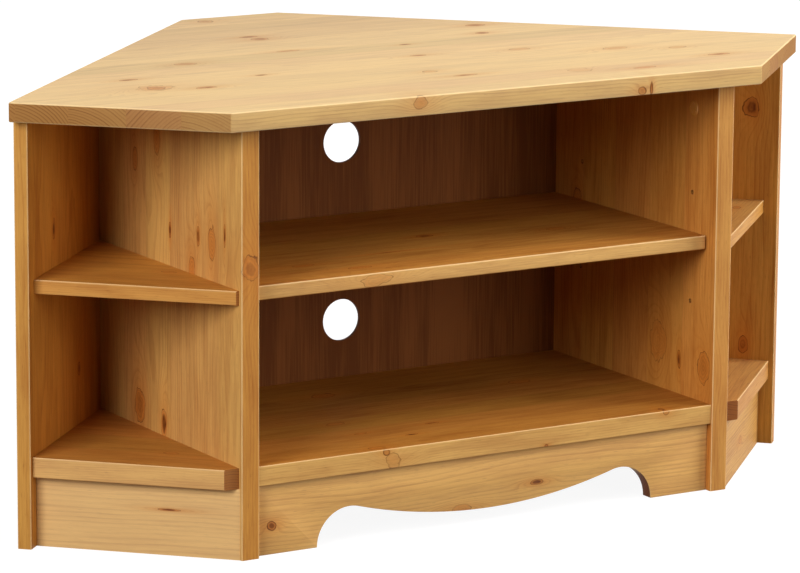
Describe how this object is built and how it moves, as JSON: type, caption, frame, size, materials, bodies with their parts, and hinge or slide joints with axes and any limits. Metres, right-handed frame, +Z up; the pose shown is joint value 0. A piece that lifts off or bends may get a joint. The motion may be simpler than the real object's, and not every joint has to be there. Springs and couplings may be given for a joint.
{
  "type": "corner tv cabinet",
  "caption": "Low solid pine corner cabinet with a six-sided top, open middle and side bays, shelves and a shaped apron.",
  "frame": {"origin": "middle of the base, on the floor", "axes": "+X to the right seen from the front, +Y to the room corner behind, +Z up"},
  "size_m": [1.0436, 0.6316, 0.5],
  "materials": {
    "lacquered_pine": "knotty edge-glued pine under a clear honey lacquer",
    "raw_pine": "plain sawn pine, unlacquered",
    "stained_back_board": "thin board stained reddish brown, vertical grain",
    "zinc_casting": "dull cast zinc cam locks",
    "bright_steel": "bright zinc-plated steel pins, bolts and screws",
    "cap_plastic": "moulded push-in caps in a light pine brown"
  },
  "bodies": {
    "cabinet": {"top_panel": "lacquered_pine", "left_divider": "lacquered_pine", "right_divider": "lacquered_pine", "left_wall_panel": "lacquered_pine", "right_wall_panel": "lacquered_pine", "center_bottom_shelf": "lacquered_pine", "left_bottom_shelf": "lacquered_pine", "right_bottom_shelf": "lacquered_pine", "left_side_shelf": "lacquered_pine", "right_side_shelf": "lacquered_pine", "center_plinth": "lacquered_pine", "left_plinth": "lacquered_pine", "right_plinth": "lacquered_pine", "middle_center_plinth_block": "raw_pine", "left_center_plinth_block": "raw_pine", "right_center_plinth_block": "raw_pine", "left_plinth_block": "raw_pine", "right_plinth_block": "raw_pine", "back_panel": "stained_back_board", "left_divider_front_cam_lock": "zinc_casting", "right_divider_front_cam_lock": "zinc_casting", "left_divider_rear_cam_lock": "zinc_casting", "right_divider_rear_cam_lock": "zinc_casting", "left_wall_panel_front_cam_lock": "zinc_casting", "right_wall_panel_front_cam_lock": "zinc_casting", "left_wall_panel_rear_cam_lock": "zinc_casting", "right_wall_panel_rear_cam_lock": "zinc_casting", "left_bottom_front_cam_lock": "zinc_casting", "right_bottom_front_cam_lock": "zinc_casting", "left_bottom_rear_cam_lock": "zinc_casting", "right_bottom_rear_cam_lock": "zinc_casting", "left_bottom_wall_cam_lock": "zinc_casting", "right_bottom_wall_cam_lock": "zinc_casting", "left_divider_front_cam_bolt": "bright_steel", "right_divider_front_cam_bolt": "bright_steel", "left_divider_rear_cam_bolt": "bright_steel", "right_divider_rear_cam_bolt": "bright_steel", "left_wall_panel_front_cam_bolt": "bright_steel", "right_wall_panel_front_cam_bolt": "bright_steel", "left_wall_panel_rear_cam_bolt": "bright_steel", "right_wall_panel_rear_cam_bolt": "bright_steel", "left_bottom_front_cam_bolt": "bright_steel", "right_bottom_front_cam_bolt": "bright_steel", "left_bottom_rear_cam_bolt": "bright_steel", "right_bottom_rear_cam_bolt": "bright_steel", "left_bottom_wall_cam_bolt": "bright_steel", "right_bottom_wall_cam_bolt": "bright_steel", "left_front_shelf_pin": "bright_steel", "right_front_shelf_pin": "bright_steel", "left_rear_shelf_pin": "bright_steel", "right_rear_shelf_pin": "bright_steel", "left_wall_panel_lower_screw": "bright_steel", "right_wall_panel_lower_screw": "bright_steel", "left_wall_panel_upper_screw": "bright_steel", "right_wall_panel_upper_screw": "bright_steel", "left_divider_front_cam_cap": "cap_plastic", "right_divider_front_cam_cap": "cap_plastic", "left_divider_rear_cam_cap": "cap_plastic", "right_divider_rear_cam_cap": "cap_plastic"},
    "center_shelf": {"center_shelf": "lacquered_pine"}
  },
  "joints": [
    {"name": "center_shelf_slide", "type": "slide", "parent": "cabinet", "child": "center_shelf", "axis": [0, -1, 0], "range_m": [0, 0.34]}
  ]
}
